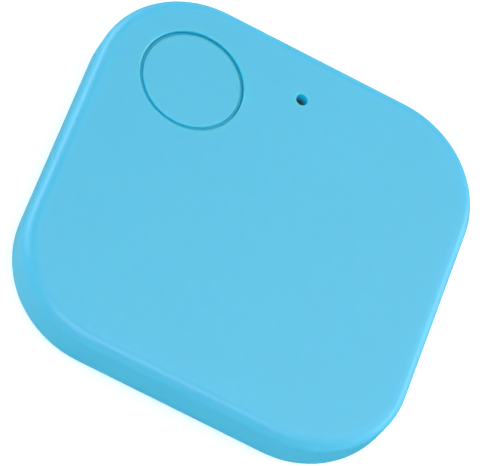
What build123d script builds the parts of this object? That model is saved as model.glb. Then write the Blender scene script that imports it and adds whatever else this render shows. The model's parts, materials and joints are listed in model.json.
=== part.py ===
from build123d import *
import math
import os

# A square bluetooth tracker tag. The origin is on the rear face at the middle of the square, the face
# with the button looks up +Z, and the sound hole is towards +Y. All sizes are in millimetres.

# Case
case_side = 38.0
case_thickness = 6.6
corner_radius = 9.75
front_edge_radius = 1.15
rear_edge_radius = 3.3
front_wall = 1.2
front_inner = case_thickness - front_wall
parting_height = 1.2
parting_chamfer = 0.1
opening_side = 34.4
opening_corner = 7.95
inner_edge_radius = 0.5

# Push button in the case's upper left corner, and the sound hole beside it
button_x = -10.08
button_y = 10.2
aperture_radius = 5.0
aperture_rim_radius = 0.18
button_radius = 4.74
button_edge_radius = 0.14
button_guide_radius = 4.96
button_shoulder_depth = 0.2
button_recess = 0.1
flange_radius = 5.5
flange_thickness = 0.35
flange_gap = 0.1
collar_inner_radius = 5.75
collar_outer_radius = 6.5
collar_depth = 1.2
button_hollow_radius = 4.0
button_hollow_inner_radius = 1.6
button_hollow_depth = 0.6
sound_hole_y = 13.75
sound_hole_radius = 0.55
sound_rim_radius = 0.12
radius_tolerance = 0.01

# Sounder, a piezo disc glued under the sound hole
sounder_x = 3.2
sounder_y = 10.6
ledge_height = 0.4
ledge_inner_radius = 5.2
ledge_outer_radius = 6.3
gasket_thickness = 0.1
gasket_outer_radius = 6.15
piezo_plate_radius = 6.1
piezo_plate_thickness = 0.1
piezo_ceramic_radius = 4.5
piezo_ceramic_thickness = 0.12
plate_contact_place = (8.1, 12.6)
ceramic_contact_place = (3.8, 11.5)
sounder_contact_width = 1.0
sounder_foot_length = 1.8
sounder_arm_reach = 1.2
sounder_touch_length = 1.1

# Circuit board, with a round cut-out that the coin cell stands in
board_side = 33.6
board_corner = 7.5
board_rear = 2.6
board_thickness = 0.8
board_front = board_rear + board_thickness
cell_x = 2.8
cell_y = -4.2
cell_cutout_radius = 10.6
screw_places = [(-13.2, -13.2), (13.2, -13.2), (13.2, 13.2)]
board_hole_radius = 0.75
boss_radius = 1.6

# Electronic parts on the rear of the board, as the length, width, height and places of each kind
chip_x = -11.9
chip_y = -3.2
chip_neighbour = 5.2
chip_capacitor_row = 3.3
chip_capacitor_pitch = 1.8
small_part_pitch = 1.6
antenna_x = -4.0
upper_row = 14.4
lower_row = 11.4
board_parts = {
    "bluetooth_chip": (5.0, 5.0, 0.85, [(chip_x, chip_y)]),
    "main_crystal": (3.2, 2.5, 0.7, [(chip_x, chip_y - chip_neighbour)]),
    "clock_crystal": (3.2, 1.5, 0.8, [(chip_x, chip_y + chip_neighbour)]),
    "chip_antenna": (5.2, 2.0, 1.0, [(antenna_x, upper_row)]),
    "boost_inductor": (3.0, 3.0, 1.1, [(4.6, 11.2)]),
    "driver_transistor": (2.9, 1.3, 1.0, [(9.4, 11.2)]),
    "capacitors": (
        1.0,
        0.5,
        0.5,
        [
            (chip_x + step * chip_capacitor_pitch, chip_y + side * chip_capacitor_row)
            for side in (-1, 1)
            for step in (-1, 0, 1)
        ]
        + [(antenna_x + step * small_part_pitch, lower_row) for step in (-1, 0, 1)],
    ),
    "resistors": (1.0, 0.5, 0.35, [(6.6 + step * small_part_pitch, upper_row) for step in (-1, 0, 1, 2)]),
    "inductors": (1.6, 0.8, 0.8, [(-9.6, 14.0), (-9.6, 11.8)]),
}
test_pad_radius = 0.5
test_pad_thickness = 0.05
test_pad_places = [(-12.4, 8.4), (-10.4, 8.4), (-8.4, 8.4), (-6.4, 8.4)]

# Screws that hold the board to the case's bosses
screw_radius = 0.55
screw_length = 2.55
screw_head_radius = 1.2
screw_head_height = 0.5
screw_recess_length = 1.3
screw_recess_width = 0.3
screw_recess_depth = 0.25

# Coin cell, 20 mm across and 3.2 mm thick, with its positive can to the rear
cell_radius = 10.0
cell_height = 3.2
cell_rear = 1.35
cell_front = cell_rear + cell_height
can_height = 2.85
can_edge_radius = 0.4
gasket_ring_inner_radius = 8.75
gasket_ring_outer_radius = 9.4
gasket_ring_depth = 0.6
gasket_ring_height = 0.7
cell_cap_edge_radius = 0.25
pad_radius = 8.5
pad_recess_radius = 10.3
pad_recess_depth = 0.3
pad_thickness = 0.4

# Rear cover lip, which pushes into the case's opening
lip_side = 34.1
lip_corner = 7.8
lip_wall = 0.8
lip_height = 1.1
crush_rib_radius = 0.25
crush_rib_proud = 0.1
crush_rib_spacing = 12.0
pry_notch_width = 7.0
pry_notch_height = 0.45
pry_notch_depth = 1.2
# How far the rounded rear edge has drawn in at the parting line
parting_inset = rear_edge_radius - math.sqrt(rear_edge_radius**2 - (rear_edge_radius - parting_height) ** 2)

# Push switch on the front of the board, under the button
switch_side = 4.6
switch_base_height = 0.9
dome_pocket_radius = 1.75
dome_pocket_floor = 0.2
dome_radius = 1.6
dome_rise = 0.42
dome_sheet = 0.08
plunger_radius = 0.95
plunger_collar_radius = 1.4
plunger_collar_thickness = 0.2
plunger_gap = 0.02
plunger_top = 4.8
frame_thickness = 0.15
frame_hole_radius = 1.1
frame_tab_width = 1.6
frame_tab_drop = 0.5
nub_radius = 1.3
terminal_side = 0.7
terminal_thickness = 0.2
terminal_spacing = 3.2

# Sheet-metal contacts
contact_sheet = 0.2
negative_width = 4.0
negative_reach = 11.2
negative_foot = 1.8
negative_rise_run = 0.3
negative_bridge_lift = 0.25
negative_touch_reach = 1.0
negative_touch_gap = 0.03
positive_width = 2.4
positive_gap = 0.06
positive_foot = 2.2
positive_drop = 0.6
positive_angle = 135.0


def rounded_case():
    """The closed tag's whole outer form, a square with round corners and soft front and rear edges."""
    with BuildPart() as form:
        with BuildSketch():
            RectangleRounded(case_side, case_side, corner_radius)
        extrude(amount=case_thickness)
        fillet(form.faces().sort_by(Axis.Z)[-1].edges(), front_edge_radius)
        fillet(form.faces().sort_by(Axis.Z)[0].edges(), rear_edge_radius)
    return form.part


def bent_sheet(plane, path, sheet, width):
    """A strip of sheet metal bent along a path drawn on a plane, and as wide as given across it."""
    with BuildPart() as strip:
        with BuildSketch(plane):
            with BuildLine():
                Polyline(*path)
            trace(line_width=sheet)
        extrude(amount=width / 2, both=True)
    return strip.part


def save(piece, name):
    """Labels a finished piece and writes it to its own file."""
    piece.part.label = name
    export_step(piece.part, f"parts/{name}.step")


def make_front_shell():
    with BuildPart() as front_shell:
        add(rounded_case())
        split(bisect_by=Plane.XY.offset(parting_height), keep=Keep.TOP)
        with BuildSketch(Plane.XY.offset(parting_height)):
            RectangleRounded(opening_side, opening_side, opening_corner)
        extrude(amount=front_inner - parting_height, mode=Mode.SUBTRACT)
        chamfer(front_shell.faces().sort_by(Axis.Z)[0].outer_wire().edges(), parting_chamfer)
        inner_face = front_shell.faces().filter_by(Axis.Z).group_by(Axis.Z)[-2]
        fillet(inner_face.edges(), inner_edge_radius)
        # Bosses that the board is screwed to, blind in the front wall
        with BuildSketch(Plane.XY.offset(board_front)):
            with Locations(*screw_places):
                Circle(boss_radius)
        extrude(amount=front_inner - board_front)
        # Collar that guides the button, and the ledge that the sounder is glued to
        with BuildSketch(Plane.XY.offset(front_inner - collar_depth)):
            with Locations((button_x, button_y)):
                Circle(collar_outer_radius)
                Circle(collar_inner_radius, mode=Mode.SUBTRACT)
        extrude(amount=collar_depth)
        with BuildSketch(Plane.XY.offset(front_inner - ledge_height)):
            with Locations((sounder_x, sounder_y)):
                Circle(ledge_outer_radius)
                Circle(ledge_inner_radius, mode=Mode.SUBTRACT)
        extrude(amount=ledge_height)
        with BuildSketch(Plane.XY.offset(board_front)):
            with Locations(*screw_places):
                Circle(screw_radius)
        extrude(amount=screw_length - board_thickness, mode=Mode.SUBTRACT)
        # Button aperture and sound hole through the front wall, with softened rims
        with BuildSketch(Plane.XY.offset(case_thickness)):
            with Locations((button_x, button_y)):
                Circle(aperture_radius)
            with Locations((0, sound_hole_y)):
                Circle(sound_hole_radius)
        extrude(amount=-front_wall, mode=Mode.SUBTRACT)
        for hole_radius, rim_radius in [
            (aperture_radius, aperture_rim_radius),
            (sound_hole_radius, sound_rim_radius),
        ]:
            front_face = front_shell.faces().filter_by(Axis.Z).sort_by(Axis.Z)[-1]
            circles = front_face.edges().filter_by(GeomType.CIRCLE)
            rims = circles.filter_by(lambda rim: abs(rim.radius - hole_radius) < radius_tolerance)
            fillet(rims, rim_radius)
    return front_shell


def make_rear_cover():
    with BuildPart() as rear_cover:
        add(rounded_case())
        split(bisect_by=Plane.XY.offset(parting_height), keep=Keep.BOTTOM)
        chamfer(rear_cover.faces().sort_by(Axis.Z)[-1].outer_wire().edges(), parting_chamfer)
        with BuildSketch(Plane.XY.offset(parting_height)):
            RectangleRounded(lip_side, lip_side, lip_corner)
            RectangleRounded(
                lip_side - 2 * lip_wall,
                lip_side - 2 * lip_wall,
                lip_corner - lip_wall,
                mode=Mode.SUBTRACT,
            )
        extrude(amount=lip_height)
        # Crush ribs that make the lip a firm push fit
        rib_line = lip_side / 2 + crush_rib_proud - crush_rib_radius
        with BuildSketch(Plane.XY.offset(parting_height)):
            for turn in range(4):
                with Locations(Rot(0, 0, 90 * turn)):
                    with Locations((rib_line, -crush_rib_spacing / 2), (rib_line, crush_rib_spacing / 2)):
                        Circle(crush_rib_radius)
        extrude(amount=lip_height)
        # Shallow seat for the rubber pad behind the coin cell
        with BuildSketch(Plane.XY.offset(parting_height)):
            with Locations((cell_x, cell_y)):
                Circle(pad_recess_radius)
        extrude(amount=-pad_recess_depth, mode=Mode.SUBTRACT)
        # Pry notch in the edge under the sound hole, for a coin or a fingernail
        with BuildSketch(Plane.XY.offset(parting_height - pry_notch_height)):
            with Locations((0, case_side / 2)):
                SlotOverall(pry_notch_width, 2 * (pry_notch_depth + parting_inset))
        extrude(amount=pry_notch_height, mode=Mode.SUBTRACT)
    return rear_cover


def make_cover_pad():
    with BuildPart() as cover_pad:
        with BuildSketch(Plane.XY.offset(parting_height - pad_recess_depth)):
            with Locations((cell_x, cell_y)):
                Circle(pad_radius)
        extrude(amount=pad_thickness)
    return cover_pad


def make_button_cap():
    cap_top = case_thickness - button_recess
    flange_top = front_inner - flange_gap
    flange_bottom = flange_top - flange_thickness
    with BuildPart() as button_cap:
        with BuildSketch(Plane.XY.offset(flange_bottom)):
            with Locations((button_x, button_y)):
                Circle(flange_radius)
        extrude(amount=flange_thickness)
        # The lower part runs in the aperture, and the upper part is smaller, which leaves the shallow groove
        with BuildSketch(Plane.XY.offset(flange_top)):
            with Locations((button_x, button_y)):
                Circle(button_guide_radius)
        extrude(amount=cap_top - button_shoulder_depth - flange_top)
        with BuildSketch(Plane.XY.offset(cap_top - button_shoulder_depth)):
            with Locations((button_x, button_y)):
                Circle(button_radius)
        extrude(amount=button_shoulder_depth)
        fillet(button_cap.faces().sort_by(Axis.Z)[-1].edges(), button_edge_radius)
        # The underside is hollowed round the nub that works the switch
        with BuildSketch(Plane.XY.offset(flange_bottom)):
            with Locations((button_x, button_y)):
                Circle(button_hollow_radius)
                Circle(button_hollow_inner_radius, mode=Mode.SUBTRACT)
        extrude(amount=button_hollow_depth, mode=Mode.SUBTRACT)
        with BuildSketch(Plane.XY.offset(plunger_top + plunger_gap)):
            with Locations((button_x, button_y)):
                Circle(nub_radius)
        extrude(amount=flange_bottom - plunger_top - plunger_gap)
    return button_cap


def make_sounder():
    gasket_bottom = front_inner - ledge_height - gasket_thickness
    plate_bottom = gasket_bottom - piezo_plate_thickness
    ceramic_bottom = plate_bottom - piezo_ceramic_thickness
    with BuildPart() as sounder_gasket:
        with BuildSketch(Plane.XY.offset(gasket_bottom)):
            with Locations((sounder_x, sounder_y)):
                Circle(gasket_outer_radius)
                Circle(ledge_inner_radius, mode=Mode.SUBTRACT)
        extrude(amount=gasket_thickness)
    with BuildPart() as piezo_plate:
        with BuildSketch(Plane.XY.offset(plate_bottom)):
            with Locations((sounder_x, sounder_y)):
                Circle(piezo_plate_radius)
        extrude(amount=piezo_plate_thickness)
    with BuildPart() as piezo_ceramic:
        with BuildSketch(Plane.XY.offset(ceramic_bottom)):
            with Locations((sounder_x, sounder_y)):
                Circle(piezo_ceramic_radius)
        extrude(amount=piezo_ceramic_thickness)
    # Two leaf contacts rise from the board, one to the plate's rim and one to the ceramic
    half_sheet = contact_sheet / 2
    with BuildPart() as sounder_contacts:
        for (place_x, place_y), top in [
            (plate_contact_place, plate_bottom),
            (ceramic_contact_place, ceramic_bottom),
        ]:
            plane = Plane(origin=(place_x, place_y, 0), x_dir=(1, 0, 0), z_dir=(0, -1, 0))
            foot_bend = -sounder_arm_reach / 2
            touch_bend = sounder_arm_reach / 2
            path = [
                (foot_bend + sounder_foot_length, board_front + half_sheet),
                (foot_bend, board_front + half_sheet),
                (touch_bend, top - half_sheet),
                (touch_bend - sounder_touch_length, top - half_sheet),
            ]
            add(bent_sheet(plane, path, contact_sheet, sounder_contact_width))
    return sounder_gasket, piezo_plate, piezo_ceramic, sounder_contacts


def make_circuit_board():
    with BuildPart() as circuit_board:
        with BuildSketch(Plane.XY.offset(board_rear)):
            RectangleRounded(board_side, board_side, board_corner)
            with Locations((cell_x, cell_y)):
                Circle(cell_cutout_radius, mode=Mode.SUBTRACT)
            with Locations(*screw_places):
                Circle(board_hole_radius, mode=Mode.SUBTRACT)
        extrude(amount=board_thickness)
    return circuit_board


def make_board_screws():
    with BuildPart() as board_screws:
        with BuildSketch(Plane.XY.offset(board_rear - screw_head_height)):
            with Locations(*screw_places):
                Circle(screw_head_radius)
        extrude(amount=screw_head_height)
        with BuildSketch(Plane.XY.offset(board_rear)):
            with Locations(*screw_places):
                Circle(screw_radius)
        extrude(amount=screw_length)
        with BuildSketch(Plane.XY.offset(board_rear - screw_head_height)):
            with Locations(*screw_places):
                Rectangle(screw_recess_length, screw_recess_width)
                Rectangle(screw_recess_width, screw_recess_length)
        extrude(amount=screw_recess_depth, mode=Mode.SUBTRACT)
    return board_screws


def make_board_parts():
    """The electronic parts on the rear of the board, by name."""
    parts = {}
    for name, (length, width, height, places) in board_parts.items():
        with BuildPart() as blocks:
            with BuildSketch(Plane.XY.offset(board_rear)):
                with Locations(*places):
                    Rectangle(length, width)
            extrude(amount=-height)
        parts[name] = blocks
    with BuildPart() as test_pads:
        with BuildSketch(Plane.XY.offset(board_rear)):
            with Locations(*test_pad_places):
                Circle(test_pad_radius)
        extrude(amount=-test_pad_thickness)
    parts["test_pads"] = test_pads
    return parts


def make_switch():
    switch_place = (button_x, button_y)
    base_top = board_front + switch_base_height
    pocket_floor = board_front + dome_pocket_floor
    dome_plane = Plane(origin=(button_x, button_y, pocket_floor), x_dir=(1, 0, 0), z_dir=(0, -1, 0))
    dome_sphere = (dome_radius**2 + dome_rise**2) / (2 * dome_rise)
    rim_angle = math.degrees(math.asin(dome_radius / dome_sphere))
    collar_bottom = pocket_floor + dome_rise + plunger_gap
    with BuildPart() as switch_base:
        with BuildSketch(Plane.XY.offset(board_front)):
            with Locations(switch_place):
                Rectangle(switch_side, switch_side)
        extrude(amount=switch_base_height)
        with BuildSketch(Plane.XY.offset(pocket_floor)):
            with Locations(switch_place):
                Circle(dome_pocket_radius)
        extrude(amount=base_top - pocket_floor, mode=Mode.SUBTRACT)
    # The dome is a slice of a thin ball, lying in the pocket on its rim
    with BuildPart() as switch_dome:
        with BuildSketch(dome_plane):
            with BuildLine():
                outer = CenterArc((0, dome_rise - dome_sphere), dome_sphere, 90 - rim_angle, rim_angle)
                inner = CenterArc(
                    (0, dome_rise - dome_sphere), dome_sphere - dome_sheet, 90 - rim_angle, rim_angle
                )
                Line(outer @ 0, inner @ 0)
                Line(outer @ 1, inner @ 1)
            make_face()
        revolve(axis=Axis((button_x, button_y, 0), (0, 0, 1)))
        split(bisect_by=Plane.XY.offset(pocket_floor), keep=Keep.TOP)
    with BuildPart() as switch_plunger:
        with BuildSketch(Plane.XY.offset(collar_bottom)):
            with Locations(switch_place):
                Circle(plunger_collar_radius)
        extrude(amount=plunger_collar_thickness)
        with BuildSketch(Plane.XY.offset(collar_bottom + plunger_collar_thickness)):
            with Locations(switch_place):
                Circle(plunger_radius)
        extrude(amount=plunger_top - collar_bottom - plunger_collar_thickness)
    with BuildPart() as switch_frame:
        with BuildSketch(Plane.XY.offset(base_top)):
            with Locations(switch_place):
                Rectangle(switch_side, switch_side)
                Circle(frame_hole_radius, mode=Mode.SUBTRACT)
        extrude(amount=frame_thickness)
        # Tabs folded down over two sides of the base
        tab_line = (switch_side + frame_thickness) / 2
        with BuildSketch(Plane.XY.offset(base_top - frame_tab_drop)):
            with Locations((button_x - tab_line, button_y), (button_x + tab_line, button_y)):
                Rectangle(frame_thickness, frame_tab_width)
        extrude(amount=frame_tab_drop + frame_thickness)
    with BuildPart() as switch_terminals:
        with BuildSketch(Plane.XY.offset(board_front)):
            with Locations(switch_place):
                with GridLocations(terminal_spacing, switch_side + terminal_side, 2, 2):
                    Rectangle(terminal_side, terminal_side)
        extrude(amount=terminal_thickness)
    return switch_base, switch_dome, switch_plunger, switch_frame, switch_terminals


def make_contacts():
    half_sheet = contact_sheet / 2
    # The negative contact bridges the cut-out in front of the cell and bows down onto its cap
    bridge_height = cell_front + negative_bridge_lift
    negative_plane = Plane(origin=(cell_x, cell_y, 0), x_dir=(1, 0, 0), z_dir=(0, -1, 0))
    arm = [
        (negative_reach + negative_foot, board_front + half_sheet),
        (negative_reach, board_front + half_sheet),
        (negative_reach - negative_rise_run, bridge_height),
        (negative_touch_reach, cell_front + half_sheet + negative_touch_gap),
    ]
    with BuildPart() as negative_contact:
        add(
            bent_sheet(
                negative_plane, arm + [(-x, z) for x, z in reversed(arm)], contact_sheet, negative_width
            )
        )
    # The positive contact is an upright blade against the can's side, with a foot behind the board
    turn = math.radians(positive_angle)
    outward = (math.cos(turn), math.sin(turn), 0)
    across = (math.sin(turn), -math.cos(turn), 0)
    positive_plane = Plane(origin=(cell_x, cell_y, 0), x_dir=outward, z_dir=across)
    blade = cell_radius + positive_gap + half_sheet
    with BuildPart() as positive_contact:
        add(
            bent_sheet(
                positive_plane,
                [
                    (blade + positive_foot, board_rear - half_sheet),
                    (blade, board_rear - half_sheet),
                    (blade, cell_front - positive_drop),
                ],
                contact_sheet,
                positive_width,
            )
        )
    return negative_contact, positive_contact


def make_coin_cell():
    can_top = cell_rear + can_height
    ring_floor = can_top - gasket_ring_depth
    with BuildPart() as cell_can:
        with BuildSketch(Plane.XY.offset(cell_rear)):
            with Locations((cell_x, cell_y)):
                Circle(cell_radius)
        extrude(amount=can_height)
        fillet(cell_can.faces().sort_by(Axis.Z)[0].edges(), can_edge_radius)
        fillet(cell_can.faces().sort_by(Axis.Z)[-1].edges(), can_edge_radius / 2)
        with BuildSketch(Plane.XY.offset(ring_floor)):
            with Locations((cell_x, cell_y)):
                Circle(gasket_ring_outer_radius)
        extrude(amount=gasket_ring_depth, mode=Mode.SUBTRACT)
    with BuildPart() as cell_gasket:
        with BuildSketch(Plane.XY.offset(ring_floor)):
            with Locations((cell_x, cell_y)):
                Circle(gasket_ring_outer_radius)
                Circle(gasket_ring_inner_radius, mode=Mode.SUBTRACT)
        extrude(amount=gasket_ring_height)
    with BuildPart() as cell_cap:
        with BuildSketch(Plane.XY.offset(ring_floor)):
            with Locations((cell_x, cell_y)):
                Circle(gasket_ring_inner_radius)
        extrude(amount=cell_front - ring_floor)
        fillet(cell_cap.faces().sort_by(Axis.Z)[-1].edges(), cell_cap_edge_radius)
    return cell_can, cell_gasket, cell_cap


os.makedirs("parts", exist_ok=True)

pieces = {
    "front_shell": make_front_shell(),
    "rear_cover": make_rear_cover(),
    "cover_pad": make_cover_pad(),
    "button_cap": make_button_cap(),
    "circuit_board": make_circuit_board(),
    "board_screws": make_board_screws(),
}
pieces.update(make_board_parts())
sounder_names = ["sounder_gasket", "piezo_plate", "piezo_ceramic", "sounder_contacts"]
pieces.update(zip(sounder_names, make_sounder()))
switch_names = ["switch_base", "switch_dome", "switch_plunger", "switch_frame", "switch_terminals"]
pieces.update(zip(switch_names, make_switch()))
pieces.update(zip(["negative_contact", "positive_contact"], make_contacts()))
pieces.update(zip(["cell_can", "cell_gasket", "cell_cap"], make_coin_cell()))

for name, piece in pieces.items():
    save(piece, name)
    print(name, "solids", len(piece.part.solids()), "volume", round(piece.part.volume, 3))
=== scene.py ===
import bpy
import json
import math
import numpy as np
from mathutils import Matrix, Vector


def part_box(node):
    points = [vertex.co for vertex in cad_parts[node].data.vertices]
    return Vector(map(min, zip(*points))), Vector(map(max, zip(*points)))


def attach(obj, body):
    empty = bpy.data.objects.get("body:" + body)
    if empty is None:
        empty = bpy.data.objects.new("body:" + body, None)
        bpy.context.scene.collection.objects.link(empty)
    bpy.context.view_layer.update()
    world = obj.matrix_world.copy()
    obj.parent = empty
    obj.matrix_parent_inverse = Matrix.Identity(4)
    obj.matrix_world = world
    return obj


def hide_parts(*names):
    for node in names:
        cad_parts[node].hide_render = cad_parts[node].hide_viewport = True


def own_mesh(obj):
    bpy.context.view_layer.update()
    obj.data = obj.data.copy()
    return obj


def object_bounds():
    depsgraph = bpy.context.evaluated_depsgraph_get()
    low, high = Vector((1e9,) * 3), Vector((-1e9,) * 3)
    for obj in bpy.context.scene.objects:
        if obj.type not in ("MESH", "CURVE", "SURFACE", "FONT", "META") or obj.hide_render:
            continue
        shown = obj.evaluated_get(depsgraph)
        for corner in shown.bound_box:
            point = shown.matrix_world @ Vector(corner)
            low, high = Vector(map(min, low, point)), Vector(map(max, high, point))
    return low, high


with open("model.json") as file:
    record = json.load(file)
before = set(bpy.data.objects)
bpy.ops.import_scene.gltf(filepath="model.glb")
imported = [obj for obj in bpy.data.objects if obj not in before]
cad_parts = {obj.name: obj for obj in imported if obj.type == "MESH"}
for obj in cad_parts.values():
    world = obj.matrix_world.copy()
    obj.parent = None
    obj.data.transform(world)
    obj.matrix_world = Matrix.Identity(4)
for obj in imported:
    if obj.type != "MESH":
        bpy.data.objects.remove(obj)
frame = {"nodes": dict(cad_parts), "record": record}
cadLow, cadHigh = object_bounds()
mm = 0.001
micron = 0.001 * mm
print("frame loaded with", len(frame["nodes"]), "nodes")

# The camera first. Angles are in degrees round the tag, and it is turned about its own line of sight.
viewSetup = {
    "azimuth": -15.1,
    "elevation": 57.55,
    "roll": 39.62,
    "distance": 385.1 * mm,
    "aim": (-0.107 * mm, -0.045 * mm, 3.3 * mm),
    "lens": 316.6,  # the lens and the sensor are in millimetres
    "sensor": 36.0,
    "nearest": 10 * mm,
    "furthest": 10000 * mm,
}


def sightLine(azimuth, elevation):
    # the unit vector from the tag towards an eye or a lamp, by degrees round and above
    around = math.radians(azimuth)
    above = math.radians(elevation)
    return Vector((math.sin(around) * math.cos(above), -math.cos(around) * math.cos(above), math.sin(above)))


def makeCamera(setup):
    back = sightLine(setup["azimuth"], setup["elevation"])
    data = bpy.data.cameras.new("studioCamera")
    data.lens = setup["lens"]
    data.sensor_width = setup["sensor"]
    data.clip_start = setup["nearest"]
    data.clip_end = setup["furthest"]
    camera = bpy.data.objects.new("studioCamera", data)
    bpy.context.scene.collection.objects.link(camera)
    turned = Matrix.Rotation(math.radians(setup["roll"]), 4, back)
    upright = back.to_track_quat("Z", "Y").to_matrix().to_4x4()
    place = Matrix.Translation(Vector(setup["aim"]) + back * setup["distance"])
    camera.matrix_world = place @ turned @ upright
    bpy.context.scene.camera = camera


makeCamera(viewSetup)


def addNode(tree, kind, settings=None, sockets=None, output=0):
    # every node is made here: its settings come first, then the values or links of its sockets
    node = tree.nodes.new(kind)
    for key, value in (settings or {}).items():
        setattr(node, key, value)
    for key, value in (sockets or {}).items():
        if isinstance(value, Flow):
            tree.links.new(value.socket, node.inputs[key])
        else:
            node.inputs[key].default_value = value
    return Flow(tree, node.outputs[output])


class Flow:
    # one value in a node tree, so that shader maths reads as Python
    def __init__(self, tree, socket):
        self.tree = tree
        self.socket = socket

    def calc(self, operation, other=None, swapped=False):
        pair = [other, self] if swapped else [self, other]
        sockets = {at: value for at, value in enumerate(pair) if value is not None}
        return addNode(self.tree, "ShaderNodeMath", {"operation": operation}, sockets)

    def __add__(self, other):
        return self.calc("ADD", other)

    def __sub__(self, other):
        return self.calc("SUBTRACT", other)

    def __rsub__(self, other):
        return self.calc("SUBTRACT", other, swapped=True)

    def __mul__(self, other):
        return self.calc("MULTIPLY", other)

    def __truediv__(self, other):
        return self.calc("DIVIDE", other)

    def __rtruediv__(self, other):
        return self.calc("DIVIDE", other, swapped=True)

    def __pow__(self, other):
        return self.calc("POWER", other)

    def __rpow__(self, other):
        return self.calc("POWER", other, swapped=True)

    def __lt__(self, other):
        return self.calc("LESS_THAN", other)

    def __gt__(self, other):
        return self.calc("GREATER_THAN", other)

    __radd__ = __add__
    __rmul__ = __mul__

    def sine(self):
        return self.calc("SINE")

    def size(self):
        return self.calc("ABSOLUTE")

    def atLeast(self, least):
        return self.calc("MAXIMUM", least)

    def atMost(self, most):
        return self.calc("MINIMUM", most)

    def parts(self):
        # the X, Y and Z of a vector
        split = addNode(self.tree, "ShaderNodeSeparateXYZ", None, {"Vector": self})
        return [Flow(self.tree, socket) for socket in split.socket.node.outputs]


# The room's light. Each soft box is (azimuth, elevation, width, height, watts), and all stand at one reach.
# The low glow is a pale band, most of it under the horizon, and the side glow is lower, on the tag's left.
# The table hides what is under the horizon from all but reflections, which pass through it. Heights run
# from -1, straight down, to 1, straight up.
studioSetup = {
    "reach": 600 * mm,
    "skyWhite": 0.35,
    "horizon": 0.45,
    "lowGlow": 0.4,
    "lowGlowMiddle": -0.25,
    "lowGlowReach": 0.38,
    "sideGlow": 0.9,
    "sideGlowLean": 0.1,
    "sideGlowTop": -0.48,
    "sideGlowFull": -0.88,
    "boxes": {
        "keyBox": (338, 47, 460 * mm, 420 * mm, 1.52),
        "rightBox": (75, 52, 420 * mm, 420 * mm, 0.5),
        "leftRimBox": (242, 14, 640 * mm, 280 * mm, 2.0),
        "rightRimBox": (112, 14, 560 * mm, 280 * mm, 1.9),
        "glossBox": (140, 57, 260 * mm, 260 * mm, 0.62),
        "overheadBox": (170, 78, 260 * mm, 200 * mm, 0.3),
        "ridgeBox": (14, 60, 260 * mm, 260 * mm, 0.55),
    },
}


def makeSky(setup):
    # the sky grows from black to white as the height goes from minus the horizon to plus the horizon
    world = bpy.data.worlds.new("studioRoom")
    bpy.context.scene.world = world
    world.use_nodes = True
    tree = world.node_tree
    across, along, height = addNode(tree, "ShaderNodeTexCoord", output="Generated").parts()
    rising = ((height / setup["horizon"] + 1.0) * 0.5).atLeast(0.0).atMost(1.0)
    fromBand = (height - setup["lowGlowMiddle"]) / setup["lowGlowReach"]
    band = (1.0 - fromBand * fromBand).atLeast(0.0)
    leftward = (along * setup["sideGlowLean"] - across).atLeast(0.0)
    sunk = (setup["sideGlowTop"] - height) / (setup["sideGlowTop"] - setup["sideGlowFull"])
    under = sunk.atLeast(0.0).atMost(1.0)
    bright = rising * setup["skyWhite"] + band * setup["lowGlow"] + leftward * under * setup["sideGlow"]
    background = tree.nodes["Background"]
    tree.links.new(bright.socket, background.inputs["Strength"])
    background.inputs["Color"].default_value = (1, 1, 1, 1)


def softBox(name, reach, azimuth, elevation, width, height, power):
    data = bpy.data.lights.new(name, "AREA")
    data.shape = "RECTANGLE"
    data.size = width
    data.size_y = height
    data.energy = power
    lamp = bpy.data.objects.new(name, data)
    bpy.context.scene.collection.objects.link(lamp)
    lamp.location = sightLine(azimuth, elevation) * reach
    lamp.rotation_euler = lamp.location.to_track_quat("Z", "Y").to_euler()


makeSky(studioSetup)
for boxName, boxSetup in studioSetup["boxes"].items():
    softBox(boxName, studioSetup["reach"], *boxSetup)
bpy.context.scene.view_settings.view_transform = "Standard"
print("camera and studio ready")


class Finish:
    # one material, with its shader and the object's own coordinates
    def __init__(self, name, fixed=None):
        self.material = bpy.data.materials.new(name)
        self.material.use_nodes = True
        self.tree = self.material.node_tree
        self.shader = self.tree.nodes["Principled BSDF"]
        self.place = self.add("ShaderNodeTexCoord", output="Object")
        for socket, value in (fixed or {}).items():
            self.shader.inputs[socket].default_value = value

    def add(self, kind, settings=None, sockets=None, output=0):
        return addNode(self.tree, kind, settings, sockets, output)

    def noise(self, scale, detail=2.0, rough=0.5, at=None):
        sockets = {"Vector": at or self.place, "Scale": scale, "Detail": detail, "Roughness": rough}
        return self.add("ShaderNodeTexNoise", None, sockets, "Fac")

    def mix(self, share, one, other):
        # colours mixed by a share: 0 gives the first and 1 the second
        return self.add("ShaderNodeMix", {"data_type": "RGBA"}, {0: share, 6: one, 7: other}, 2)

    def shade(self, share, colour, darkest, lightest):
        # one colour, times darkest where the share is 0 and times lightest where it is 1
        return self.mix(share, tint(colour, darkest), tint(colour, lightest))

    def relief(self, height, depth):
        # depth is the relief's real height in metres
        return self.add("ShaderNodeBump", None, {"Height": height, "Distance": depth, "Strength": 1.0})

    def surface(self, colour, rough=None, normal=None):
        for socket, value in (("Base Color", colour), ("Roughness", rough), ("Normal", normal)):
            if value is not None:
                self.tree.links.new(value.socket, self.shader.inputs[socket])
        return self.material


def tint(colour, share=1.0):
    # a colour with its alpha, made lighter or darker by a share
    return tuple(min(1.0, part * share) for part in colour) + (1.0,)


def distanceFrom(x, y, middleX, middleY):
    # the distance from an upright axis, sqrt((x - a)**2 + (y - b)**2)
    offX = x - middleX
    offY = y - middleY
    return (offX * offX + offY * offY) ** 0.5


def centreOf(node):
    nodeLow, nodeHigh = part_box(node)
    return (nodeLow.x + nodeHigh.x) / 2, (nodeLow.y + nodeHigh.y) / 2


def sizeOf(node):
    nodeLow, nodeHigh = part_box(node)
    return nodeHigh.x - nodeLow.x, nodeHigh.y - nodeLow.y, nodeHigh.z - nodeLow.z


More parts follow.
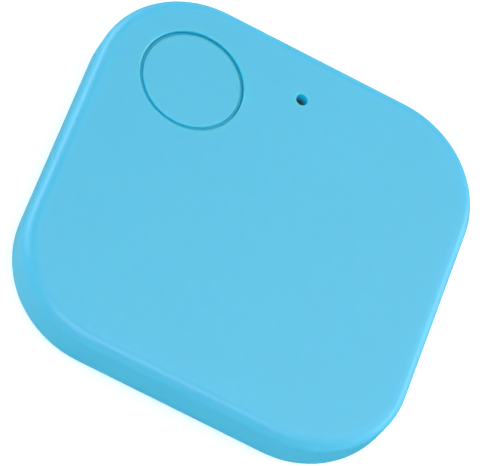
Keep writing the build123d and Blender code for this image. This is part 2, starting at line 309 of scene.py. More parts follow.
boardLow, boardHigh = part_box("circuit_board")
boardRear = boardLow.z

# The fine grain that a spark-eroded mould leaves, over a slow drift. Shares say how far each one counts.
grainSetup = {
    "driftScale": 70.0,
    "detail": 3.0,
    "fineRough": 0.6,
    "pitShare": 0.35,
    "fineInColour": 0.3,
    "fineInGloss": 0.1,
    "driftInGloss": 0.06,
    "pitsInRelief": 0.3,
}


def mouldGrain(finish, pitch, depth, setup=grainSetup):
    # gives the colour's share, from 0 to 1, then the change in roughness, then the relief
    slow = finish.noise(setup["driftScale"], setup["detail"])
    fine = finish.noise(1.0 / pitch, setup["detail"], setup["fineRough"])
    pits = finish.noise(setup["pitShare"] / pitch)
    share = slow * (1 - setup["fineInColour"]) + fine * setup["fineInColour"]
    gloss = (fine - 0.5) * setup["fineInGloss"] + (slow - 0.5) * setup["driftInGloss"]
    height = fine * (1 - setup["pitsInRelief"]) + pits * setup["pitsInRelief"]
    return share, gloss, finish.relief(height, depth)


# The tag's own plastic, a little translucent. It carries painted shade, a deeper blue down in the groove
# round the button, and painted light, a lighter blue in the sound hole that stands in for its lit walls.
tagPlasticSetup = {
    "blue": (0.072, 0.455, 0.655),
    # the next two colours are painted shade in the groove and painted light in the sound hole
    "paintedGrooveShadeBlue": (0.008, 0.42, 0.66),
    "paintedHoleLightBlue": (0.012, 0.58, 0.8),
    "grooveInner": 4.68 * mm,
    "grooveOuter": 5.06 * mm,
    "holePlace": (0.0, 13.75 * mm),
    "holeOuter": 0.6 * mm,
    "lip": 0.05 * mm,
    "grain": 0.16 * mm,
    "grainDepth": 1.2 * micron,
    "drift": 0.03,
    "fixed": {
        "Subsurface Weight": 0.85,
        "Subsurface Radius": (0.25, 0.7, 1.0),
        "Subsurface Scale": 1.8 * mm,
    },
}


def tagPlastic(name, rough, setup=tagPlasticSetup):
    # a satin moulding, with painted shade below the lip in a ring round the button and painted light in the
    # hole
    finish = Finish(name, setup["fixed"])
    x, y, z = finish.place.parts()
    below = z < cadHigh.z - setup["lip"]
    fromButton = distanceFrom(x, y, *centreOf("button_cap"))
    fromHole = distanceFrom(x, y, *setup["holePlace"])
    inPaintedGrooveShade = (fromButton > setup["grooveInner"]) * (fromButton < setup["grooveOuter"]) * below
    inPaintedHoleLight = (fromHole < setup["holeOuter"]) * below
    share, gloss, relief = mouldGrain(finish, setup["grain"], setup["grainDepth"])
    face = finish.shade(share, setup["blue"], 1 - setup["drift"], 1 + setup["drift"])
    # painted shade: the groove ring gets a deeper blue, then painted light: the hole gets a lighter blue
    deep = finish.mix(inPaintedGrooveShade, face, tint(setup["paintedGrooveShadeBlue"]))
    colour = finish.mix(inPaintedHoleLight, deep, tint(setup["paintedHoleLightBlue"]))
    return finish.surface(colour, gloss + rough, relief)


def mouldedPlastic(name, colour, rough, pitch, depth, drift):
    # a plain moulding in another colour, with the same kind of grain
    finish = Finish(name)
    share, gloss, relief = mouldGrain(finish, pitch, depth)
    return finish.surface(finish.shade(share, colour, 1 - drift, 1 + drift), gloss + rough, relief)


# Metals stay short of fully metallic, because the room is dark straight below and they would mirror it
metalSetup = {
    "fixed": {"Metallic": 0.72},
    "stain": 0.05,
    "smearDetail": 4.0,
    "turnedSmear": 120.0,
    "turnedSmearInGloss": 0.16,
    "ringBreakScale": 2500.0,
    "ringBreak": 1.2,
    "ringsInGloss": 0.05,
    "ringDepth": 0.8 * micron,
    "rolledSmear": 300.0,
    "rolledSmearInGloss": 0.1,
    "lineStretch": (400, 9000, 9000),
    "lineDetail": 3.0,
    "lineRough": 0.6,
    "linesInGloss": 0.14,
    "lineDepth": 0.5 * micron,
}


def turnedMetal(name, colour, rough, centre, pitch, setup=metalSetup):
    # metal turned about a centre: sin(2 pi (r + z) / pitch), broken up by noise, with light smears
    finish = Finish(name, setup["fixed"])
    x, y, z = finish.place.parts()
    radius = distanceFrom(x, y, *centre)
    smear = finish.noise(setup["turnedSmear"], setup["smearDetail"])
    breaks = finish.noise(setup["ringBreakScale"]) * setup["ringBreak"]
    rings = ((radius + z) * (2 * math.pi / pitch) + breaks).sine()
    shade = finish.shade(smear, colour, 1 - setup["stain"], 1 + setup["stain"])
    roughness = rings * setup["ringsInGloss"] + (smear - 0.5) * setup["turnedSmearInGloss"] + rough
    return finish.surface(shade, roughness, finish.relief(rings, setup["ringDepth"]))


def rolledMetal(name, colour, rough, turn=0.0, setup=metalSetup):
    # sheet with rolling lines: noise drawn out along one direction, at a turn in radians
    finish = Finish(name, setup["fixed"])
    drawn = {"Vector": finish.place, "Scale": setup["lineStretch"], "Rotation": (0, 0, turn)}
    along = finish.add("ShaderNodeMapping", None, drawn)
    lines = finish.noise(1.0, setup["lineDetail"], setup["lineRough"], along)
    smear = finish.noise(setup["rolledSmear"], setup["smearDetail"])
    shade = finish.shade(smear, colour, 1 - setup["stain"], 1 + setup["stain"])
    roughness = (lines - 0.5) * setup["linesInGloss"] + (smear - 0.5) * setup["rolledSmearInGloss"] + rough
    return finish.surface(shade, roughness, finish.relief(lines, setup["lineDepth"]))


ceramicSetup = {
    "grainScale": 9000.0,
    "grainDetail": 3.0,
    "grainRough": 0.6,
    "grainInGloss": 0.16,
    "grainDepth": 1.5 * micron,
    "cloudScale": 900.0,
    "cloud": 0.08,
    "speckScale": 5200.0,
    "speckFrom": 0.63,
    "speckShare": 0.12,
    "speckDark": 0.45,
}


def firedCeramic(name, colour, rough, setup=ceramicSetup):
    # fine pressed grain with darker specks
    finish = Finish(name)
    grain = finish.noise(setup["grainScale"], setup["grainDetail"], setup["grainRough"])
    cloud = finish.noise(setup["cloudScale"])
    specks = (finish.noise(setup["speckScale"], 0.0) > setup["speckFrom"]) * setup["speckShare"]
    shade = finish.shade(cloud, colour, 1 - setup["cloud"], 1 + setup["cloud"])
    speckled = finish.mix(specks, shade, tint(colour, setup["speckDark"]))
    roughness = (grain - 0.5) * setup["grainInGloss"] + rough
    return finish.surface(speckled, roughness, finish.relief(grain, setup["grainDepth"]))


rubberSetup = {
    "cellScale": 4200.0,
    "cellDepth": 4.0 * micron,
    "dustScale": 700.0,
    "dustDetail": 4.0,
    "dustRough": 0.65,
    "dustInGloss": 0.12,
    "darkest": 0.8,
    "lightest": 1.5,
}


def softRubber(name, colour, rough, setup=rubberSetup):
    # matt rubber with a shallow cell texture and a bloom of dust
    finish = Finish(name)
    cells = {"Vector": finish.place, "Scale": setup["cellScale"]}
    height = finish.add("ShaderNodeTexVoronoi", None, cells, "Distance")
    dust = finish.noise(setup["dustScale"], setup["dustDetail"], setup["dustRough"])
    shade = finish.shade(dust, colour, setup["darkest"], setup["lightest"])
    roughness = (dust - 0.5) * setup["dustInGloss"] + rough
    return finish.surface(shade, roughness, finish.relief(height, setup["cellDepth"]))


maskSetup = {
    "fixed": {"Coat Weight": 0.35, "Coat Roughness": 0.18},
    "yarnPitch": 0.42 * mm,
    "weaveDepth": 2.0 * micron,
    "weaveInColour": 0.45,
    "cloudScale": 260.0,
    "cloudDetail": 3.0,
    "cloudInColour": 0.4,
    "cloudInGloss": 0.1,
    "darkest": 0.72,
    "lightest": 1.3,
    "laminate": (0.42, 0.40, 0.22),
    "laminateShare": 0.44,
    "laminateInGloss": 0.35,
}


def solderMask(name, colour, rough, setup=maskSetup):
    # green lacquer over woven glass: two crossed waves for the yarns, |sin x sin y|, and bare laminate
    # where the board is cut, which is all that lies inside its two faces
    finish = Finish(name, setup["fixed"])
    x, y, z = finish.place.parts()
    yarn = 2 * math.pi / setup["yarnPitch"]
    weave = ((x * yarn).sine() * (y * yarn).sine()).size()
    cloud = finish.noise(setup["cloudScale"], setup["cloudDetail"])
    share = weave * setup["weaveInColour"] + cloud * setup["cloudInColour"]
    face = finish.shade(share, colour, setup["darkest"], setup["lightest"])
    fromMiddle = (z - (boardLow.z + boardHigh.z) / 2).size()
    inEdge = fromMiddle < (boardHigh.z - boardLow.z) * setup["laminateShare"]
    lacquered = finish.mix(inEdge, face, tint(setup["laminate"]))
    roughness = inEdge * setup["laminateInGloss"] + (cloud - 0.5) * setup["cloudInGloss"] + rough
    return finish.surface(lacquered, roughness, finish.relief(weave, setup["weaveDepth"]))


# One finish for each material slot
finishes = {
    "blue_shell": tagPlastic("bluePlastic", 0.38),
    "blue_button": tagPlastic("buttonPlastic", 0.39),
    "pad_rubber": softRubber("padRubber", (0.03, 0.03, 0.033), 0.75),
    "tape_black": softRubber("tapeBlack", (0.02, 0.02, 0.022), 0.6),
    "board_green": solderMask("boardMask", (0.012, 0.13, 0.05), 0.38),
    "screw_steel": rolledMetal("screwSteel", (0.5, 0.5, 0.52), 0.34),
    "chip_black": mouldedPlastic("chipEpoxy", (0.02, 0.02, 0.022), 0.55, 0.05 * mm, 1.5 * micron, 0.12),
    "crystal_can": rolledMetal("crystalCan", (0.66, 0.65, 0.62), 0.3),
    "antenna_ceramic": firedCeramic("antennaCeramic", (0.16, 0.22, 0.28), 0.42),
    "ferrite": firedCeramic("ferriteGrey", (0.06, 0.06, 0.065), 0.6),
    "capacitor_ceramic": firedCeramic("capacitorCeramic", (0.36, 0.23, 0.13), 0.36),
    "resistor_black": firedCeramic("resistorGlaze", (0.03, 0.03, 0.033), 0.25),
    "gold_plate": rolledMetal("goldPlate", (0.86, 0.62, 0.24), 0.26),
    "sounder_brass": turnedMetal("sounderBrass", (0.72, 0.5, 0.2), 0.3, centreOf("piezo_plate"), 0.12 * mm),
    "piezo_white": turnedMetal("piezoSilver", (0.74, 0.73, 0.7), 0.42, centreOf("piezo_plate"), 0.3 * mm),
    "contact_steel": rolledMetal("contactSteel", (0.62, 0.61, 0.58), 0.28, 0.6),
    "switch_black": mouldedPlastic("switchNylon", (0.03, 0.03, 0.03), 0.5, 0.08 * mm, 1.5 * micron, 0.1),
    "switch_white": mouldedPlastic("plungerNylon", (0.7, 0.69, 0.65), 0.45, 0.08 * mm, 1.0 * micron, 0.05),
    "cell_steel": turnedMetal("cellSteel", (0.63, 0.63, 0.62), 0.26, centreOf("cell_can"), 0.09 * mm),
    "cell_seal": mouldedPlastic("cellSeal", (0.5, 0.52, 0.55), 0.4, 0.1 * mm, 1.0 * micron, 0.06),
}

nodeSlots = {part["node"]: part["material_slot"] for part in frame["record"]["subparts"]}
for nodeName, node in frame["nodes"].items():
    node.data.materials.clear()
    node.data.materials.append(finishes[nodeSlots[nodeName]])
print("finishes on", len(nodeSlots), "nodes")


def gridShell(rings):
    # a closed skin over rings of points, each a loop, with a fan to the middle of the first and the last
    rings = np.asarray(rings, float)
    count, around = rings.shape[:2]
    middles = np.stack([rings[0].mean(axis=0), rings[-1].mean(axis=0)])
    points = np.concatenate([rings.reshape(-1, 3), middles])
    row, column = np.meshgrid(np.arange(count - 1), np.arange(around), indexing="ij")
    after = (column + 1) % around
    nextRow = (row + 1) * around
    corners = [row * around + column, row * around + after, nextRow + after, nextRow + column]
    quads = np.stack(corners, axis=-1).reshape(-1, 4)
    here = np.arange(around)
    after = (here + 1) % around
    last = (count - 1) * around
    firstFan = np.stack([after, here, np.full(around, count * around)], axis=-1)
    lastFan = np.stack([last + here, last + after, np.full(around, count * around + 1)], axis=-1)
    triangles = np.concatenate([quads[:, [0, 1, 2]], quads[:, [0, 2, 3]], firstFan, lastFan])
    first, second, third = (points[triangles[:, i]] for i in range(3))
    volume = (first * np.cross(second, third)).sum()  # six times the volume, and negative if inside out
    faces = quads.tolist() + firstFan.tolist() + lastFan.tolist()
    if volume < 0:
        faces = [face[::-1] for face in faces]
    return points, faces


sharpFrom = math.radians(38)  # an edge that turns more than this stays crisp


def makePiece(name, shells, slotName, replaced=(), finish=None):
    # joins closed skins into one object, which rides on the case as everything on the board does
    starts = np.cumsum([0] + [len(points) for points, faces in shells])
    points = np.concatenate([points for points, faces in shells])
    faces = []
    for (_, shellFaces), start in zip(shells, starts):
        faces += [[corner + start for corner in face] for face in shellFaces]
    mesh = bpy.data.meshes.new(name)
    mesh.from_pydata(points.tolist(), [], faces)
    mesh.shade_smooth()
    mesh.set_sharp_from_angle(angle=sharpFrom)
    mesh.materials.append(finish or finishes[slotName])
    piece = bpy.data.objects.new(name, mesh)
    bpy.context.scene.collection.objects.link(piece)
    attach(piece, "case")
    if replaced:
        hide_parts(*replaced)
    return piece


def cornerAngles(perCorner):
    # the angles round a rounded rectangle, a quarter turn at each corner, with each corner's signs
    quarter = np.linspace(0, math.pi / 2, perCorner)
    turns = (np.arange(4)[:, None] * math.pi / 2 + quarter).ravel()
    signX = np.repeat([1, -1, -1, 1], perCorner)
    signY = np.repeat([1, 1, -1, -1], perCorner)
    return turns, signX, signY


blockSetup = {"perCorner": 5, "bevelSteps": 4, "leastCorner": 0.2}


def block(place, size, radius, bevel, foot=0.0, setup=blockSetup):
    # a moulded block that hangs from the board: each ring is a rounded rectangle drawn in by the inset,
    # and the inset follows a quarter circle, bevel * (1 - cos t), as the depth goes down by bevel * sin t
    length, width, height = size
    turns, signX, signY = cornerAngles(setup["perCorner"])
    quarter = np.linspace(0, math.pi / 2, setup["bevelSteps"])
    inset = np.concatenate([[0.0], bevel * (1 - np.cos(quarter))])[:, None]
    depth = np.concatenate([[foot], height - bevel + bevel * np.sin(quarter)])[:, None]
    corner = np.maximum(radius - inset, radius * setup["leastCorner"])
    across = (length / 2 - inset - corner) * signX + corner * np.cos(turns)
    along = (width / 2 - inset - corner) * signY + corner * np.sin(turns)
    down = np.broadcast_to(boardRear - depth, across.shape)
    return gridShell(np.stack([place[0] + across, place[1] + along, down], axis=-1))


stripSetup = {"perCorner": 3, "soft": 0.3}


def strip(path, width, thickness, flat=False, setup=stripSetup):
    # a thin bar along a path: at each point a rounded rectangle spans the path's two normals
    path = np.asarray(path, float)
    ahead = np.gradient(path, axis=0)
    ahead /= np.linalg.norm(ahead, axis=1, keepdims=True)
    upward = np.array([0.0, 0.0, 1.0])
    side = upward
    if not flat:
        side = np.cross(ahead[0], upward)
        side = side / np.linalg.norm(side)
    normal = np.cross(ahead, side)
    turns, signX, signY = cornerAngles(setup["perCorner"])
    soft = min(width, thickness) * setup["soft"]
    wide, thick = (thickness, width) if flat else (width, thickness)
    across = (wide / 2 - soft) * signX + soft * np.cos(turns)
    up = (thick / 2 - soft) * signY + soft * np.sin(turns)
    rings = path[:, None, :] + across[None, :, None] * side + up[None, :, None] * normal[:, None, :]
    return gridShell(rings)


solderSetup = {"slopeSteps": 6, "widthSteps": 7, "taperFrom": 1.02, "taperBy": 0.9, "least": 0.01 * mm}


def solderFillet(place, facing, width, reach, height, setup=solderSetup):
    # a concave wedge of solder: its outline falls as height * (1 - s)**2 over the reach, and it shrinks
    # towards both ends of its width as sqrt(1.02 - 0.9 w**2), with w from -1 to 1
    fall = np.linspace(0, 1, setup["slopeSteps"])
    outward = np.concatenate([reach * fall, [0.0]])
    down = np.concatenate([height * (1 - fall) ** 2, [0.0]]) + setup["least"]
    spread = np.linspace(-1, 1, setup["widthSteps"])
    taper = np.sqrt(setup["taperFrom"] - spread**2 * setup["taperBy"])
    forward = np.array([facing[0], facing[1], 0.0])
    sideways = np.array([-facing[1], facing[0], 0.0])
    rings = (
        np.array([place[0], place[1], boardRear])
        + (spread * width / 2)[:, None, None] * sideways
        + (taper[:, None] * outward)[..., None] * forward
        - (taper[:, None] * down)[..., None] * np.array([0, 0, 1.0])
    )
    return gridShell(rings)


dropSetup = {"rings": 5, "around": 16, "rise": 0.94}  # the rise is a share of the quarter turn


def drop(place, radius, height, setup=dropSetup):
    # a low round drop that hangs from the board: radius * cos t out and height * sin t down
    rise = np.linspace(0, math.pi / 2 * setup["rise"], setup["rings"])[:, None]
    turns = np.linspace(0, 2 * math.pi, setup["around"], endpoint=False)
    out = radius * np.cos(rise)
    across = place[0] + out * np.cos(turns)
    along = place[1] + out * np.sin(turns)
    down = np.broadcast_to(boardRear - height * np.sin(rise), across.shape)
    return gridShell(np.stack([across, along, down], axis=-1))


def bothWays(place, reach):
    # the two ends of a part that lies along X, each as a place and a facing
    return [((place[0] + side * reach, place[1]), (side, 0)) for side in (-1, 1)]


def endSolder(place, reach, width, out, height):
    # a fillet at each end of a part that lies along X
    return [solderFillet(spot, facing, width, out, height) for spot, facing in bothWays(place, reach)]


# The radio chip: a flat moulded package with a row of soldered pads along each edge, and a dot at pad 1
chipSetup = {
    "corner": 0.12 * mm,
    "bevel": 0.07 * mm,
    "standOff": 0.03 * mm,
    "padPitch": 0.5 * mm,
    "padsPerSide": 8,
    "pad": (0.24 * mm, 0.28 * mm, 0.16 * mm),  # width, reach and height
    "dotRadius": 0.25 * mm,
    "dotInset": 0.7 * mm,
    "dotRaise": 0.006 * mm,
}


def makeChip(setup):
    place = centreOf("bluetooth_chip")
    size = sizeOf("bluetooth_chip")
    body = block(place, size, setup["corner"], setup["bevel"], setup["standOff"])
    half = size[0] / 2
    steps = (np.arange(setup["padsPerSide"]) - (setup["padsPerSide"] - 1) / 2) * setup["padPitch"]
    pads = []
    for facing in ((1, 0), (0, 1), (-1, 0), (0, -1)):
        for step in steps:
            across = facing[0] * half - facing[1] * step
            along = facing[1] * half + facing[0] * step
            pads.append(solderFillet((place[0] + across, place[1] + along), facing, *setup["pad"]))
    inset = half - setup["dotInset"]
    dot = drop((place[0] - inset, place[1] + inset), setup["dotRadius"], size[2] + setup["dotRaise"])
    makePiece("chipBody", [body], "chip_black", ["bluetooth_chip"])
    makePiece("chipSolder", pads, "screw_steel")
    makePiece("chipDot", [dot], "switch_white")


# Crystals: a ceramic tray with a pressed metal lid, stepped in above its flange. The solder's width is a
# share of the crystal's, and the other shares are of its height.
crystalSetup = {
    "pieces": {"main_crystal": "mainCrystal", "clock_crystal": "clockCrystal"},
    "corner": 0.22 * mm,
    "trayShare": 0.45,
    "trayBevel": 0.03 * mm,
    "flangeInset": 0.07 * mm,
    "flangeFrom": 0.405,
    "flangeTo": 0.78,
    "flangeBevel": 0.05 * mm,
    "lidInset": 0.32 * mm,
    "lidFrom": 0.6,
    "lidCorner": 0.308 * mm,
    "lidBevel": 0.08 * mm,
    "solderWidth": 0.7,
    "solderReach": 0.2 * mm,
    "solderHeight": 0.2 * mm,
}


def makeCrystals(setup):
    for node, name in setup["pieces"].items():
        place = centreOf(node)
        length, width, height = sizeOf(node)
        tray = block(place, (length, width, height * setup["trayShare"]), setup["corner"], setup["trayBevel"])
        flangeIn = setup["flangeInset"] * 2
        flange = (length - flangeIn, width - flangeIn, height * setup["flangeTo"])
        lidIn = setup["lidInset"] * 2
        lid = (length - lidIn, width - lidIn, height)
        lids = [
            block(place, flange, setup["corner"], setup["flangeBevel"], height * setup["flangeFrom"]),
            block(place, lid, setup["lidCorner"], setup["lidBevel"], height * setup["lidFrom"]),
        ]
        solderWidth = width * setup["solderWidth"]
        ends = endSolder(place, length / 2, solderWidth, setup["solderReach"], setup["solderHeight"])
        makePiece(name + "Tray", [tray], "antenna_ceramic", [node])
        makePiece(name + "Lid", lids, "crystal_can")
        makePiece(name + "Solder", ends, "screw_steel")


# Small two-ended parts: a glazed middle, a tinned sleeve at each end, and solder at each sleeve
smallParts = {
    "capacitors": {"slot": "capacitor_ceramic", "sleeve": 0.26, "corner": 0.06 * mm, "span": 0.9 * mm},
    "resistors": {"slot": "resistor_black", "sleeve": 0.22, "corner": 0.04 * mm, "span": 0.9 * mm},
    "inductors": {"slot": "ferrite", "sleeve": 0.2, "corner": 0.08 * mm, "span": 1.2 * mm},
}
smallPartSetup = {
    "overlap": 0.02 * mm,
    "middleWidth": 0.94,
    "middleHeight": 0.95,
    "middleCorner": 0.5,
    "middleBevel": 0.6,
    "middleFoot": 0.03 * mm,
    "solderBack": 0.01 * mm,
    "solderWidth": 0.96,
    "solderReach": 0.22 * mm,
    "solderHeight": 0.62,
}


def placesOf(node, span):
    # the middle and size of each bunch of corners within a span of the first one left. These parts are
    # longer than the span, so a bunch is the near ends of two neighbours, or one end alone, and neither
    # its middle nor its size is a real part's. That is a fault, which is still to be mended.
    mesh = frame["nodes"][node].data
    left = np.empty(len(mesh.vertices) * 3)
    mesh.vertices.foreach_get("co", left)
    left = left.reshape(-1, 3)
    places = []
    while len(left):
        near = np.abs(left[:, :2] - left[0, :2]).max(axis=1) < span
        low, high = left[near].min(axis=0), left[near].max(axis=0)
        places.append(((low + high) / 2, high - low))
        left = left[~near]
    return places


def makeSmallParts(node, part, setup):
    middles, sleeves, solder = [], [], []
    for (x, y, z), (length, width, height) in placesOf(node, part["span"]):
        sleeve = length * part["sleeve"]
        edge = part["corner"]
        middleLength = length - (sleeve - setup["overlap"]) * 2
        middle = (middleLength, width * setup["middleWidth"], height * setup["middleHeight"])
        corner, bevel = edge * setup["middleCorner"], edge * setup["middleBevel"]
        middles.append(block((x, y), middle, corner, bevel, setup["middleFoot"]))
        for spot, facing in bothWays((x, y), (length - sleeve) / 2):
            sleeves.append(block(spot, (sleeve, width, height), edge, edge))
        reach = length / 2 - setup["solderBack"]
        solderWidth, solderHeight = width * setup["solderWidth"], height * setup["solderHeight"]
        solder += endSolder((x, y), reach, solderWidth, setup["solderReach"], solderHeight)
    name = node[:-1]
    makePiece(name + "Middles", middles, part["slot"], [node])
    makePiece(name + "Sleeves", sleeves, "crystal_can")
    makePiece(name + "Solder", solder, "screw_steel")


# The chip antenna: a ceramic bar with a plated cap at each end, and plated strips across it that are
# joined in pairs along one edge
antennaSetup = {
    "corner": 0.1 * mm,
    "bevel": 0.05 * mm,
    "strips": 6,
    "stripsFrom": 0.81 * mm,
    "stripWidth": 0.22 * mm,
    "stripCorner": 0.05 * mm,
    "stripBevel": 0.03 * mm,
    "stripProud": 0.02 * mm,
    "stripRaise": 0.012 * mm,
    "cap": 0.45 * mm,
    "capCorner": 0.08 * mm,
    "capProud": 0.03 * mm,
    "capRaise": 0.016 * mm,
    "solderWidth": 0.9,
    "solderReach": 0.3 * mm,
    "solderHeight": 0.5,
}


def makeAntenna(setup):
    place = centreOf("chip_antenna")
    length, width, height = sizeOf("chip_antenna")
    body = block(place, (length, width, height), setup["corner"], setup["bevel"])
    reach = length / 2 - setup["stripsFrom"]
    pitch = 2 * reach / (setup["strips"] - 1)
    wide, deep = setup["stripWidth"], height + setup["stripRaise"]
    stripEdge = (setup["stripCorner"], setup["stripBevel"])
    plating = []
    for at, step in enumerate(np.linspace(-reach, reach, setup["strips"])):
        spot = (place[0] + step, place[1])
        plating.append(block(spot, (wide, width + setup["stripProud"], deep), *stripEdge))
        if at % 2 == 0:
            join = (place[0] + step + pitch / 2, place[1] + width / 2 - wide)
            plating.append(block(join, (pitch, wide, deep), *stripEdge))
    cap = (setup["cap"], width + setup["capProud"], height + setup["capRaise"])
    for spot, facing in bothWays(place, (length - setup["cap"]) / 2):
        plating.append(block(spot, cap, setup["capCorner"], setup["bevel"]))
    solderWidth, solderHeight = width * setup["solderWidth"], height * setup["solderHeight"]
    plating += endSolder(place, length / 2, solderWidth, setup["solderReach"], solderHeight)
    makePiece("antennaBar", [body], "antenna_ceramic", ["chip_antenna"])
    makePiece("antennaStrips", plating, "crystal_can")


# The sounder's driving coil: a ferrite drum between two flanges, wound with enamelled wire
coilSetup = {
    "flange": 0.25 * mm,
    "corner": 0.7 * mm,
    "footBevel": 0.04 * mm,
    "topBevel": 0.06 * mm,
    "coreRadius": 0.85 * mm,
    "coreCorner": 0.833 * mm,
    "coreBevel": 0.02 * mm,
    "enamel": (0.56, 0.2, 0.07),
    "enamelRough": 0.32,
    "enamelRings": 0.05 * mm,
    "turns": 5,
    "stepsPerTurn": 40,
    "wireSides": 10,
    "wireRadius": 0.09375 * mm,
    "windingFrom": 0.075 * mm,
    "windingOut": 0.12 * mm,
    "solderWidth": 0.5,
    "solderReach": 0.3 * mm,
    "solderHeight": 0.35 * mm,
}


def makeCoil(setup):
    place = centreOf("boost_inductor")
    length, width, height = sizeOf("boost_inductor")
    flange = setup["flange"]
    core = setup["coreRadius"] * 2
    coreSize = (core, core, height - flange / 2)
    drum = [
        block(place, (length, width, flange), setup["corner"], setup["footBevel"]),
        block(place, coreSize, setup["coreCorner"], setup["coreBevel"], flange / 2),
        block(place, (length, width, height), setup["corner"], setup["topBevel"], height - flange),
    ]
    # a helix, whose ring of points at each step lies along the radius and the drum's axis
    turns = setup["turns"]
    along = np.linspace(0, turns * 2 * math.pi, turns * setup["stepsPerTurn"])
    top = flange + setup["windingFrom"]
    depth = top + (height - 2 * top) * along / along[-1]
    radial = np.stack([np.cos(along), np.sin(along), np.zeros_like(along)], axis=-1)
    path = np.array([place[0], place[1], 0]) + radial * (setup["coreRadius"] + setup["windingOut"])
    path[:, 2] = boardRear - depth
    ring = np.linspace(0, 2 * math.pi, setup["wireSides"], endpoint=False)
    rings = (
        path[:, None, :]
        + (setup["wireRadius"] * np.cos(ring))[None, :, None] * radial[:, None, :]
        + (setup["wireRadius"] * np.sin(ring))[None, :, None] * np.array([0, 0, 1.0])
    )
    ends = endSolder(
        place, length / 2, width * setup["solderWidth"], setup["solderReach"], setup["solderHeight"]
    )
    enamel = turnedMetal(
        "enamelledWire", setup["enamel"], setup["enamelRough"], place, setup["enamelRings"]
    )
    makePiece("coilDrum", drum, "ferrite", ["boost_inductor"])
    makePiece("coilWinding", [gridShell(rings)], "sounder_brass", finish=enamel)
    makePiece("coilSolder", ends, "screw_steel")


# The driver transistor: a small moulded body with three bent legs, each (steps along, side)
driverSetup = {
    "corner": 0.08 * mm,
    "bevel": 0.1 * mm,
    "standOff": 0.08 * mm,
    "legs": ((-1, -1), (1, -1), (0, 1)),
    "legStep": 0.95 * mm,
    "legWidth": 0.4 * mm,
    "legThickness": 0.12 * mm,
    "legReach": 0.55 * mm,
    "legInside": 0.1 * mm,
    "legPoints": 14,
    "fallSpeed": 1.9,
    "fallWait": 0.45,
    "solderBack": 0.02 * mm,
    "solder": (0.52 * mm, 0.16 * mm, 0.14 * mm),  # width, reach and height
}


def makeDriver(setup):
    place = centreOf("driver_transistor")
    size = sizeOf("driver_transistor")
    body = block(place, size, setup["corner"], setup["bevel"], setup["standOff"])
    half = size[1] / 2
    # each leg leaves the body level and falls to the board on a smooth step, 3 s**2 - 2 s**3
    ease = np.linspace(0, 1, setup["legPoints"])
    out = (setup["legReach"] + setup["legInside"]) * ease - setup["legInside"]
    fall = np.clip(ease * setup["fallSpeed"] - setup["fallWait"], 0, 1)
    fall = fall**2 * (3 - 2 * fall)
    top = size[2] / 2
    rest = setup["legThickness"] / 2
    down = top + (rest - top) * fall
    legs, solder = [], []
    for step, side in setup["legs"]:
        x = place[0] + step * setup["legStep"]
        path = np.stack([np.full_like(out, x), place[1] + side * (half + out), boardRear - down], axis=-1)
        legs.append(strip(path, setup["legWidth"], setup["legThickness"]))
        toe = (x, place[1] + side * (half + setup["legReach"] - setup["solderBack"]))
        solder.append(solderFillet(toe, (0, side), *setup["solder"]))
    makePiece("driverBody", [body], "chip_black", ["driver_transistor"])
    makePiece("driverLegs", legs, "crystal_can")
    makePiece("driverSolder", solder, "screw_steel")


# Copper under the lacquer: raised tracks in straight runs with bends, and plated holes where they end.
# Half of each track's thickness is in the board. Routes are in millimetres.
trackSetup = {
    "width": 0.2 * mm,
    "thickness": 0.07 * mm,
    "pointsPerRun": 6,
    "holeRadius": 0.26 * mm,
    "holeRaise": 0.056 * mm,
    "green": (0.035, 0.24, 0.1),
    "rough": 0.34,
    "routes": [
        [(-11.9, 1.2), (-11.9, 0.6), (-12.6, -0.1)],
        [(-9.1, -3.2), (-8.6, -2.6), (-8.6, 3.0), (-7.4, 4.2), (-7.4, 7.6)],
        [(-9.1, -2.2), (-9.0, 4.6), (-9.4, 5.2), (-9.4, 7.6)],
        [(-9.6, 12.6), (-8.8, 13.4), (-8.4, 14.4), (-6.8, 14.4)],
        [(-4.0, 12.0), (-3.0, 12.6), (0.4, 12.6), (1.6, 11.4), (2.9, 11.2)],
        [(6.2, 11.2), (7.2, 11.2), (7.8, 10.4), (8.4, 10.3)],
        [(9.4, 12.2), (9.4, 13.2), (10.4, 14.0), (12.0, 14.0)],
        [(-13.2, -7.0), (-14.6, -5.6), (-14.6, 4.0), (-13.6, 5.6), (-12.4, 7.6)],
        [(-10.4, -11.0), (-9.4, -12.4), (-6.0, -14.4), (8.0, -14.9), (10.0, -14.6)],
        [(-1.0, 14.2), (0.6, 14.9), (3.6, 14.9), (4.3, 14.4)],
    ],
}


def makeTracks(setup):
    tracks, holes = [], []
    for route in setup["routes"]:
        points = np.array([(x * mm, y * mm, boardRear) for x, y in route])
        runs = len(points) - 1
        share = np.linspace(0, runs, runs * setup["pointsPerRun"] + 1)
        path = np.stack([np.interp(share, np.arange(runs + 1), points[:, i]) for i in range(3)], axis=-1)
        tracks.append(strip(path, setup["width"], setup["thickness"], flat=True))
        for end in (points[0], points[-1]):
            holes.append(drop(end, setup["holeRadius"], setup["holeRaise"]))
    lacquer = solderMask("trackMask", setup["green"], setup["rough"])
    makePiece("boardTracks", tracks, "board_green", finish=lacquer)
    makePiece("boardVias", holes, "gold_plate")


# The switch's snap dome: a thin sprung shell in the switch's pocket, which in the real switch goes flat as
# the button goes down; here it is built only at rest
domeSetup = {"sheet": 0.07 * mm, "around": 72, "rings": 16, "crown": 0.2, "pole": 0.002, "keep": 0.4}


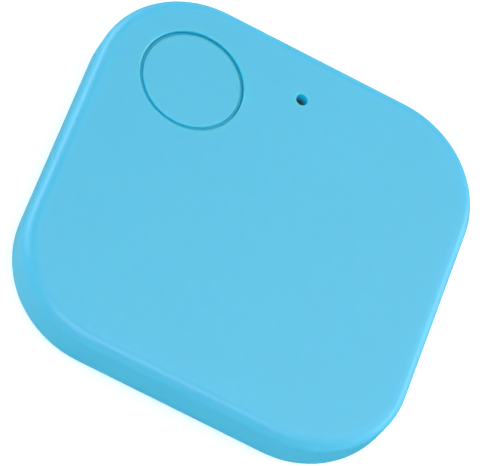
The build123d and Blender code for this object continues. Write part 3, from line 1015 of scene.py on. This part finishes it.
def makeDome(setup):
    place = centreOf("switch_dome")
    length, width, height = sizeOf("switch_dome")
    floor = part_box("switch_dome")[0].z
    # the inner skin rises as (1 - s**2) from the rim to a flat crown, with s the share of the radius,
    # and the outer skin is the same, a sheet higher
    share = np.linspace(1, setup["pole"], setup["rings"])
    rise = np.clip((1 - share**2) / (1 - setup["crown"] ** 2), 0, 1) * (height - setup["sheet"])
    turns = np.linspace(0, 2 * math.pi, setup["around"], endpoint=False)
    out = np.concatenate([share[::-1], share]) * length / 2
    up = floor + np.concatenate([rise[::-1], rise + setup["sheet"]])
    across = place[0] + out[:, None] * np.cos(turns)
    along = place[1] + out[:, None] * np.sin(turns)
    skin = gridShell(np.stack([across, along, np.broadcast_to(up[:, None], across.shape)], axis=-1))
    shell = makePiece("snapDome", [skin], "contact_steel", ["switch_dome"])
    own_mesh(shell)


makeChip(chipSetup)
makeCrystals(crystalSetup)
for smallNode, smallPart in smallParts.items():
    makeSmallParts(smallNode, smallPart, smallPartSetup)
makeAntenna(antennaSetup)
makeCoil(coilSetup)
makeDriver(driverSetup)
makeTracks(trackSetup)
makeDome(domeSetup)
print("board parts made")


# The table is seen only from above, so that the tag's underside can be looked at, and it glows a little.
# It lies a hair below the tag, so that the two faces don't lie in one plane.
tableSetup = {
    "reach": 3000 * mm,
    "drop": 0.03 * mm,
    "glow": 0.36,
    "cloudScale": 3.0,
    "darkest": (0.9, 0.9, 0.9, 1),
    "lightest": (0.92, 0.92, 0.92, 1),
}


def makeTable(setup):
    reach = setup["reach"]
    mesh = bpy.data.meshes.new("tableTop")
    corners = [(x * reach, y * reach, -setup["drop"]) for x, y in ((-1, -1), (1, -1), (1, 1), (-1, 1))]
    mesh.from_pydata(corners, [], [(0, 1, 2, 3)])
    table = bpy.data.objects.new("tableTop", mesh)
    bpy.context.scene.collection.objects.link(table)
    matt = {"Roughness": 0.9, "Specular IOR Level": 0.1}
    glow = {"Emission Color": (1, 1, 1, 1), "Emission Strength": setup["glow"]}
    paper = Finish("tablePaper", matt | glow)
    cloud = paper.noise(setup["cloudScale"])
    paper.surface(paper.mix(cloud, setup["darkest"], setup["lightest"]))
    fromBelow = paper.add("ShaderNodeNewGeometry", output="Backfacing")
    clear = paper.add("ShaderNodeBsdfTransparent")
    shown = Flow(paper.tree, paper.shader.outputs["BSDF"])
    both = paper.add("ShaderNodeMixShader", None, {0: fromBelow, 1: shown, 2: clear})
    ending = paper.tree.nodes["Material Output"]
    paper.tree.links.new(both.socket, ending.inputs["Surface"])
    mesh.materials.append(paper.material)
    table.visible_glossy = False


makeTable(tableSetup)
print("table laid")
